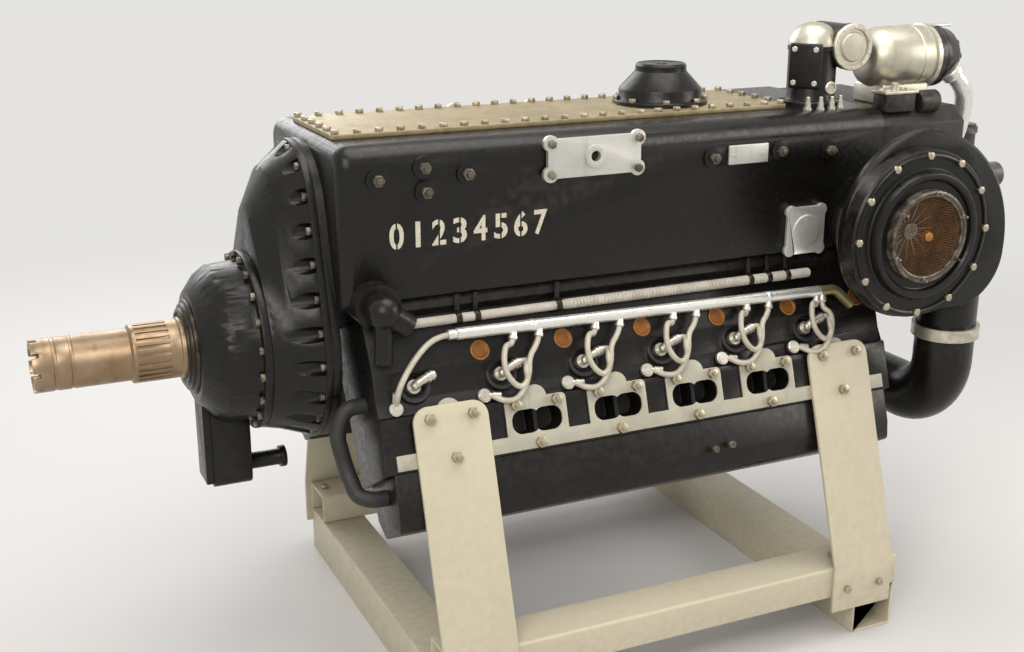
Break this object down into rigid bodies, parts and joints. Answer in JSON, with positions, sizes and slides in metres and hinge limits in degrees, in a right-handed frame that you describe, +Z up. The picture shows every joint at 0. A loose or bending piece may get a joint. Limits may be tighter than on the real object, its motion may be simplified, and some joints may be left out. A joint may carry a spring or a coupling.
{
  "type": "inverted v aircraft engine",
  "caption": "Liquid-cooled inverted V piston aircraft engine with side supercharger, geared hollow propeller shaft and turning gear, bolted to a steel floor stand.",
  "frame": {"origin": "on the floor under the middle of the engine's length, in its plane of symmetry", "axes": "+X from the propeller end to the rear, +Y to starboard, +Z up"},
  "size_m": [2.222, 0.904, 1.236],
  "materials": {
    "black_casting": "semi-gloss black enamel on castings",
    "grey_casting": "satin dark grey enamel",
    "bare_aluminium": "cast aluminium, dull",
    "machined_steel": "turned and ground steel",
    "dark_steel": "oiled steel",
    "zinc_fastener": "plated fasteners",
    "gasket_grey": "bare sheet metal, slightly stained",
    "stand_paint": "cream paint on the stand",
    "conduit_tube": "drawn aluminium tube",
    "lead_braid": "metal-braided plug lead",
    "orange_plug": "orange enamel",
    "wrap_cloth": "cloth tape over a pipe",
    "brass_fitting": "brass",
    "cap_plastic": "moulded black cap",
    "hose_rubber": "rubber hose",
    "cover_sheet": "bare plate, slightly tanned",
    "screen_wire": "steel mesh"
  },
  "bodies": {
    "engine": {"crankcase": "black_casting", "crankcase_cover": "cover_sheet", "cover_bolts": "zinc_fastener", "breather_dome": "black_casting", "port_cylinder_block": "black_casting", "starboard_cylinder_block": "black_casting", "cylinder_liners": "machined_steel", "port_camshaft_cover": "black_casting", "starboard_camshaft_cover": "black_casting", "exhaust_gaskets": "gasket_grey", "exhaust_studs": "zinc_fastener", "main_bearing_caps": "dark_steel", "plain_bearings": "brass_fitting", "reduction_housing": "black_casting", "casing_bolts": "zinc_fastener", "nose_cover": "black_casting", "nose_seal_ring": "machined_steel", "ignition_conduits": "conduit_tube", "plug_leads": "lead_braid", "spark_plugs": "machined_steel", "core_plugs": "orange_plug", "bearer_pads": "bare_aluminium", "side_cover": "bare_aluminium", "wrapped_pipe": "wrap_cloth", "supercharger_casing": "black_casting", "supercharger_cover": "black_casting", "intake_ring": "grey_casting", "intake_screen": "screen_wire", "supercharger_bolts": "zinc_fastener", "outlet_pipe": "black_casting", "outlet_clamp": "bare_aluminium", "intake_manifold": "black_casting", "injection_pump": "grey_casting", "accessory_case": "black_casting", "starter_motor": "grey_casting", "magneto": "bare_aluminium", "magneto_cap": "cap_plastic", "magneto_conduit": "conduit_tube", "control_housing": "black_casting", "control_cover": "bare_aluminium", "coolant_elbow": "black_casting", "oil_pump": "black_casting", "oil_hose": "hose_rubber", "stand_cross_tubes": "stand_paint", "stand_rails": "stand_paint", "stand_legs": "stand_paint", "stand_bolts": "zinc_fastener"},
    "propeller": {"propeller_shaft": "machined_steel", "reduction_gear": "dark_steel"},
    "crank": {"crankshaft": "dark_steel", "crankshaft_pinion": "dark_steel"},
    "port_cam": {"port_camshaft": "dark_steel"},
    "starboard_cam": {"starboard_camshaft": "dark_steel"},
    "impeller_rotor": {"impeller": "bare_aluminium"},
    "port_outer_pair": {"port_outer_pistons": "bare_aluminium"},
    "port_middle_pair": {"port_middle_pistons": "bare_aluminium"},
    "port_inner_pair": {"port_inner_pistons": "bare_aluminium"},
    "starboard_outer_pair": {"starboard_outer_pistons": "bare_aluminium"},
    "starboard_middle_pair": {"starboard_middle_pistons": "bare_aluminium"},
    "starboard_inner_pair": {"starboard_inner_pistons": "bare_aluminium"}
  },
  "joints": [
    {"name": "crank_spin", "type": "hinge", "parent": "engine", "child": "crank", "pos_m": [0, 0, 0.9136], "axis": [1, 0, 0], "continuous": true},
    {"name": "propeller_spin", "type": "hinge", "parent": "engine", "child": "propeller", "pos_m": [-0.8, 0, 0.6786], "axis": [1, 0, 0], "continuous": true},
    {"name": "impeller_spin", "type": "hinge", "parent": "engine", "child": "impeller_rotor", "pos_m": [0.54, -0.3, 0.843], "axis": [0, -1, 0], "continuous": true},
    {"name": "port_cam_spin", "type": "hinge", "parent": "engine", "child": "port_cam", "pos_m": [0, -0.28, 0.42863], "axis": [1, 0, 0], "continuous": true},
    {"name": "starboard_cam_spin", "type": "hinge", "parent": "engine", "child": "starboard_cam", "pos_m": [0, 0.28, 0.42863], "axis": [1, 0, 0], "continuous": true},
    {"name": "port_outer_slide", "type": "slide", "parent": "engine", "child": "port_outer_pair", "axis": [0, -0.5, -0.866], "range_m": [-0.14613, 0.01387]},
    {"name": "port_middle_slide", "type": "slide", "parent": "engine", "child": "port_middle_pair", "axis": [0, -0.5, -0.866], "range_m": [-0.00756, 0.15244]},
    {"name": "port_inner_slide", "type": "slide", "parent": "engine", "child": "port_inner_pair", "axis": [0, -0.5, -0.866], "range_m": [-0.06713, 0.09287]},
    {"name": "starboard_outer_slide", "type": "slide", "parent": "engine", "child": "starboard_outer_pair", "axis": [0, 0.5, -0.866], "range_m": [-0.14613, 0.01387]},
    {"name": "starboard_middle_slide", "type": "slide", "parent": "engine", "child": "starboard_middle_pair", "axis": [0, 0.5, -0.866], "range_m": [-0.06713, 0.09287]},
    {"name": "starboard_inner_slide", "type": "slide", "parent": "engine", "child": "starboard_inner_pair", "axis": [0, 0.5, -0.866], "range_m": [-0.00756, 0.15244]}
  ],
  "couplings": [
    {"joint": "propeller_spin", "follows": "crank_spin", "ratio": -0.59322},
    {"joint": "port_cam_spin", "follows": "crank_spin", "ratio": 0.5},
    {"joint": "starboard_cam_spin", "follows": "crank_spin", "ratio": 0.5}
  ]
}
